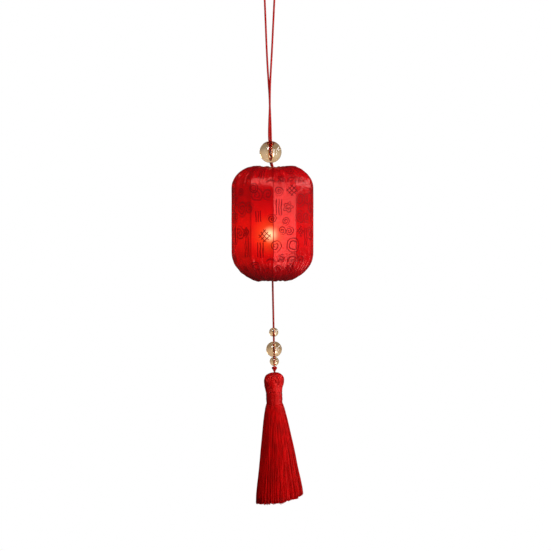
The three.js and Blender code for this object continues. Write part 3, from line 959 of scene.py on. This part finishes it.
def add_lower_cord(material):
    points = [PENDANT @ Vector((0, 0, -depth * MM)) for depth in LOWER_ROUTE]
    path = smooth_path(points, 0.3 * MM)
    shape = Shape()
    shape.add_tube(path, plied(CORD, 2.2 * MM), 18)
    cord = shape.piece("pendant_cord", material, "pendant", "cord")
    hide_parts("lower_cord")
    return cord, path


KNOT_WIDTH = 2.5 * MM
KNOT_DEPTH = 1.8 * MM
KNOT_HEIGHT = 2.5 * MM
KNOT_THREAD = 1.05 * MM
KNOT_STEPS = 90


def knot_path():
    """A closed overhand knot about the origin."""
    path = []
    for i in range(KNOT_STEPS + 1):
        t = TURN * i / KNOT_STEPS
        x = (math.sin(t) + 2 * math.sin(2 * t)) / 3
        y = (math.cos(t) - 2 * math.cos(2 * t)) / 3
        deep = -math.sin(3 * t)
        path.append(Vector((x * KNOT_WIDTH, deep * KNOT_DEPTH, y * KNOT_HEIGHT)) / 2)
    return path


def add_tassel_knot(place, material):
    """A knot with the stubs of cord that lead up out of it and down into the tassel."""
    shape = Shape()
    shape.add_tube(knot_path(), plied(KNOT_THREAD, 2.2 * MM), 12)
    stub = [Vector((0, 0, KNOT_HEIGHT * share)) for share in (-0.98, -0.6, -0.3, 0, 0.3, 0.62)]
    shape.add_tube(stub, plied(CORD, 2.2 * MM), 18)
    knot = shape.piece("knot_over_tassel", material, "pendant", "cord", place)
    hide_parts("tassel_knot")
    return knot


# ------------------------------------------------------------------ beads


def add_bead(name, node, radius, hole, place, material):
    """A polished bead with an eased hole through it, on the node's own body."""
    ease = 0.28 * MM
    mouth = hole + ease
    turn = math.degrees(math.acos(mouth / radius))
    height = math.sqrt(radius**2 - mouth**2)
    outside = arc(0, 0, radius, -turn, turn, 40)
    inside = [(hole, height - ease), (hole, 0), (hole, ease - height)]
    shape = Shape()
    turned(shape, [*outside, *inside, outside[0]], 72)
    bead = shape.piece(name, material, node, "bead_glass", place)
    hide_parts(node)
    return bead


# ------------------------------------------------------------------ tassel

HEAD_PROFILE = [
    (1.35, -0.95),
    (2.0, -1.05),
    (3.1, -1.5),
    (4.6, -2.6),
    (5.6, -4.5),
    (5.8, -6.4),
    (5.5, -8.8),
    (5.0, -11.4),
    (4.85, -13.4),
]
SKIRT_PROFILE = [
    (4.9, -20.6),
    (5.35, -21.7),
    (5.85, -23.5),
    (7.4, -31),
    (9.0, -41),
    (10.5, -51),
    (11.9, -61.5),
    (13.5, -72),
    (14.4, -79),
    (14.7, -84.0),
]
SKIRT_DEPTH = 0.86  # its depth as a share of its width
SKIRT_THREADS = 1250
CORE_SHARE = 0.82  # the darker bundle's size as a share of the skirt's
HEAD_THREADS = 40
HEAD_BANDS = 3
BAND_THREADS = 11
BINDING_TOP = -13.2 * MM
BINDING_BOTTOM = -21.3 * MM
BINDING_THREAD = 0.52 * MM


def profile_curve(profile, step):
    """A profile as a smooth list of (radius, height) in metres."""
    path = smooth_path([Vector((r, 0, z)) * MM for r, z in profile], step)
    return [(p.x, p.z) for p in path]


def sway(z):
    """How far the limp tassel hangs left of its straight axis at a height below its top."""
    depth = -z / MM
    return 0.8 * MM * smoothstep(-1, 7, depth) * (1 - smoothstep(18, 60, depth))


def on_tassel(r, angle, z, flatness=1.0):
    """A point of the tassel round its axis."""
    return Vector((r * math.cos(angle) - sway(z), r * math.sin(angle) * flatness, z))


def head_thread(line, start, sweep, rise):
    """One thread down the head, from an angle, sweeping round by another and raised midway."""
    path = []
    for i, (r, z) in enumerate(line):
        t = i / (len(line) - 1)
        path.append(on_tassel(r + rise * math.sin(math.pi * t), start + sweep * t, z))
    return path


def tapered(radius):
    """A thread's radius, which is drawn in where the threads meet at the knot."""
    return lambda distance, angle: radius * (0.4 + 0.6 * smoothstep(0, 5.5 * MM, distance))


def add_tassel_head(material):
    """Threads over the round core, and three bands of threads that cross over them."""
    line = profile_curve(HEAD_PROFILE, 0.45 * MM)
    shape = Shape()
    rng = random.Random(21)
    for k in range(HEAD_THREADS):
        start = TURN * (k + rng.uniform(-0.15, 0.15)) / HEAD_THREADS
        shape.add_tube(head_thread(line, start, math.radians(-60), 0), tapered(0.4 * MM), 6)
    for band in range(HEAD_BANDS):
        for k in range(BAND_THREADS):
            across = (k + rng.uniform(-0.1, 0.1)) / BAND_THREADS - 0.5
            start = TURN * band / HEAD_BANDS + math.radians(160 + 64 * across)
            rise = 0.5 * MM * (1 - (2 * across) ** 4)
            shape.add_tube(head_thread(line, start, math.radians(150), rise), tapered(0.38 * MM), 6)
    shape.add_rows([[on_tassel(r - 0.25 * MM, TURN * a / 40, z) for a in range(40)] for r, z in line])
    head = shape.piece("tassel_head_threads", material, "tassel", "tassel_thread", TASSEL)
    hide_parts("tassel_head")


def add_tassel_binding(material):
    """A thread wound round the neck, turn on turn, with its end tucked under."""
    turns = round((BINDING_TOP - BINDING_BOTTOM) / BINDING_THREAD)
    steps = 36
    rng = random.Random(5)
    wander = [rng.uniform(-0.08, 0.08) * MM for _ in range(turns + 1)]
    path = []
    for i in range(turns * steps + 1):
        t = i / (turns * steps)
        angle = TURN * i / steps
        at = i // steps
        share = i / steps - at
        bulge = wander[at] + (wander[min(at + 1, turns)] - wander[at]) * share
        radius = 4.85 * MM + bulge + 0.15 * MM * math.sin(math.pi * t)
        path.append(on_tassel(radius, angle, BINDING_TOP + (BINDING_BOTTOM - BINDING_TOP) * t))
    shape = Shape()
    shape.add_tube(path, BINDING_THREAD * 0.52, 6)
    band = shape.piece("tassel_binding_thread", material, "tassel", "tassel_thread", TASSEL)
    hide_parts("tassel_binding")


def add_tassel_skirt(material):
    """Loose threads over a darker bundle, cut off nearly level."""
    line = profile_curve(SKIRT_PROFILE, 5 * MM)
    rng = random.Random(40)
    shape = Shape()
    for _ in range(SKIRT_THREADS):
        angle = rng.uniform(0, TURN)
        fold = 0.05 * noise.noise(Vector((1.9 * math.cos(angle), 1.9 * math.sin(angle), 3)))
        inward = 1 + fold - 0.2 * rng.random() ** 2
        drift = rng.gauss(0, 0.04)
        cut = rng.gauss(0, 0.35) * MM
        wave = rng.uniform(0, TURN)
        swing = rng.uniform(0.1, 0.35) * MM
        path = []
        for i, (r, z) in enumerate(line):
            t = i / (len(line) - 1)
            turned_by = angle + drift * t
            reach = r * inward + swing * math.sin(wave + 5 * t) * t
            point = on_tassel(reach, turned_by, z, SKIRT_DEPTH)
            shorten = max(0, point.x) * 0.3 + reach**2 * 4
            point.z += (shorten + cut) * t**3
            path.append(point)
        shape.add_tube(path, rng.uniform(0.22, 0.32) * MM, 5)
    core_rows = []
    for r, z in line:
        row = []
        for a in range(90):
            angle = TURN * a / 90
            ridge = 1 + 0.04 * noise.noise(Vector((math.cos(angle) * 9, math.sin(angle) * 9, z * 20)))
            row.append(on_tassel(r * CORE_SHARE * ridge, angle, z + 2.5 * MM, SKIRT_DEPTH))
        core_rows.append(row)
    first = shape.add_rows(core_rows)
    shape.add_cap(first, 90, flip=True)
    shape.add_cap(first + 90 * (len(core_rows) - 1), 90, flip=False)
    skirt = shape.piece("tassel_skirt_threads", material, "tassel", "tassel_thread", TASSEL)
    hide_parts("tassel_skirt")


# ------------------------------------------------------------------ stage

GLOSS_SKY = 0.03
DIFFUSE_SKY = 0.55
FLOOR_DROP = 1.0
FLOOR_RINGS = (0.02, 1.0, 5.0)

# Each light: name, azimuth, elevation, distance, width, height and brightness.
SOFTBOXES = [
    ("key_right", 34, -14, 1.0, 0.40, 1.95, 8.2),
    ("side_right", 68, 0, 1.1, 0.32, 1.0, 7.0),
    ("low_right", 70, -45, 0.8, 0.3, 0.3, 8.0),
    ("top_front", 14, 48, 1.0, 0.2, 0.2, 9.0),
    ("front", 2, 4, 1.5, 0.5, 0.7, 1.2),
    ("fill_left", -66, 14, 1.3, 0.5, 0.7, 0.5),
    ("band_left", -31, 38, 1.0, 0.45, 0.40, 14.0),
    ("band_right", 100, 23, 1.0, 0.5, 0.34, 7.0),
]


def add_floor():
    """A pale floor well below the tassel, outside the picture."""
    shape = Shape()
    level = cad_box[0].z - FLOOR_DROP
    rows = [
        [Vector((r * math.cos(TURN * k / 64), r * math.sin(TURN * k / 64), level)) for k in range(64)]
        for r in FLOOR_RINGS
    ]
    shape.add_rows(rows)
    mesh = bpy.data.meshes.new("floor")
    mesh.from_pydata(shape.vertices, [], shape.faces)
    mesh.materials.append(floor_material())
    floor = bpy.data.objects.new("floor", mesh)
    scene.collection.objects.link(floor)


def add_softbox(name, azimuth, elevation, distance, width, height, radiance):
    """A soft rectangular light that faces the lantern. Azimuth 0 is in front, positive right."""
    data = bpy.data.lights.new(name, "AREA")
    data.shape = "RECTANGLE"
    data.size = width
    data.size_y = height
    data.energy = radiance * math.pi * width * height
    lamp = bpy.data.objects.new(name, data)
    a = math.radians(azimuth)
    e = math.radians(elevation)
    away = Vector((math.sin(a) * math.cos(e), -math.cos(a) * math.cos(e), math.sin(e)))
    lamp.location = LANTERN + away * distance
    lamp.rotation_euler = away.to_track_quat("Z", "Y").to_euler()
    scene.collection.objects.link(lamp)


def add_lamp_light():
    """The light that the LED really gives, inside the dome."""
    data = bpy.data.lights.new("led_light", "POINT")
    data.energy = 0.012
    data.color = (1.0, 0.55, 0.22)
    data.shadow_soft_size = 3 * MM
    lamp = bpy.data.objects.new("led_light", data)
    lamp.location = LANTERN + Vector((0, 0, -1.0)) * MM
    scene.collection.objects.link(lamp)
    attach(lamp, "lamp")


def add_world():
    """White behind the object, even light on matt surfaces, little for gloss, and for glass a
    bright upper half."""
    world = bpy.data.worlds.new("studio")
    scene.world = world
    world.use_nodes = True
    tree = world.node_tree
    tree.nodes.clear()

    def node(kind, **settings):
        made = tree.nodes.new("ShaderNode" + kind)
        for key, value in settings.items():
            setattr(made, key, value)
        return made

    def light(strength):
        made = node("Background")
        made.inputs[0].default_value = (1, 1, 1, 1)
        if isinstance(strength, float):
            made.inputs[1].default_value = strength
        else:
            tree.links.new(strength, made.inputs[1])
        return made.outputs[0]

    def choose(ray, otherwise, seen):
        made = node("MixShader")
        tree.links.new(rays.outputs[ray], made.inputs[0])
        tree.links.new(otherwise, made.inputs[1])
        tree.links.new(seen, made.inputs[2])
        return made.outputs[0]

    rays = node("LightPath")
    direction = node("TexCoord").outputs["Generated"]
    parts = node("SeparateXYZ")
    tree.links.new(direction, parts.inputs[0])
    fade = node("MapRange", interpolation_type="SMOOTHSTEP")
    tree.links.new(parts.outputs[2], fade.inputs[0])
    for socket, value in zip(fade.inputs[1:], (-0.7, 0.3, 0.12, 0.7)):
        socket.default_value = value
    lighting = choose("Is Diffuse Ray", light(GLOSS_SKY), light(DIFFUSE_SKY))
    through_glass = choose("Is Transmission Ray", lighting, light(fade.outputs[0]))
    seen = choose("Is Camera Ray", through_glass, light(1.0))
    output = node("OutputWorld")
    tree.links.new(seen, output.inputs[0])


# ------------------------------------------------------------------ the scene

add_camera()
silk = cord_material("silk_cord", (130, 8, 7), (104, 4, 4), 3)
# The lower cord is the same silk cord as the loop and the knot, given darker, browner colours as painted
# shade.
silk_in_painted_shade = cord_material("silk_cord_in_painted_shade", (114, 22, 15), (84, 12, 9), 3)
glass = bead_material()
wound = thread_material("wound_thread", (134, 0, 1), (110, 0, 0), 1.0, 0.24)
loose = thread_material("loose_thread", (132, 0, 1), (100, 0, 0), 0.25, 0.34)

loop_cord, loop_path = add_loop_cord(silk)
lower_cord, lower_path = add_lower_cord(silk_in_painted_shade)

top_bead_place = Matrix.Translation(Vector((0.65, 0, -112.4)) * MM)
top_bead = add_bead("top_glass_bead", "top_bead", 7 * MM, 1.7 * MM, top_bead_place, glass)


def on_pendant(depth):
    return PENDANT @ Matrix.Translation((0, 0, -depth * MM))


pendant_beads = [
    add_bead("upper_glass_bead", "upper_small_bead", 2.95 * MM, CORD_HOLE, on_pendant(32.9), glass),
    add_bead("large_glass_bead", "large_bead", 5 * MM, CORD_HOLE, on_pendant(43.75), glass),
    add_bead("lower_glass_bead", "lower_small_bead", 2.95 * MM, CORD_HOLE, on_pendant(51.5), glass),
]
tassel_knot = add_tassel_knot(on_pendant(56.05), silk)

cover = add_cover(satin_material())
add_tassel_head(wound)
add_tassel_binding(wound)
add_tassel_skirt(loose)

wire = wire_material()
brass = metal_material("brass", (206, 164, 92), (170, 122, 62), 0.2)
nickel = metal_material("nickel", (190, 192, 194), (160, 161, 160), 0.22)
white_plastic = plastic_material("white_plastic", (238, 233, 222), (228, 221, 208), 0.42)
red_plastic = plastic_material("red_plastic", (158, 14, 18), (140, 10, 14), 0.32)
board = plastic_material("green_board", (26, 88, 50), (20, 72, 40), 0.3)
frosted = lit_material("frosted_dome_lit", (255, 196, 110), 4.0)
lit_led = lit_material("led_lit", (255, 226, 170), 18.0)
BY_SLOT = {
    "rib_wire": wire,
    "brass": brass,
    "nickel": nickel,
    "white_plastic": white_plastic,
    "red_plastic": red_plastic,
    "board": board,
    "frosted_plastic": frosted,
    "lit_led": lit_led,
    "cord": silk,
}
for part in frame["record"]["subparts"]:
    node = nodes[part["node"]]
    look = BY_SLOT.get(part["material_slot"])
    if look is not None and not node.hide_render:
        node.data.materials.clear()
        node.data.materials.append(look)

add_floor()
add_world()
for light in SOFTBOXES:
    add_softbox(*light)
add_lamp_light()
scene.view_settings.view_transform = "Standard"
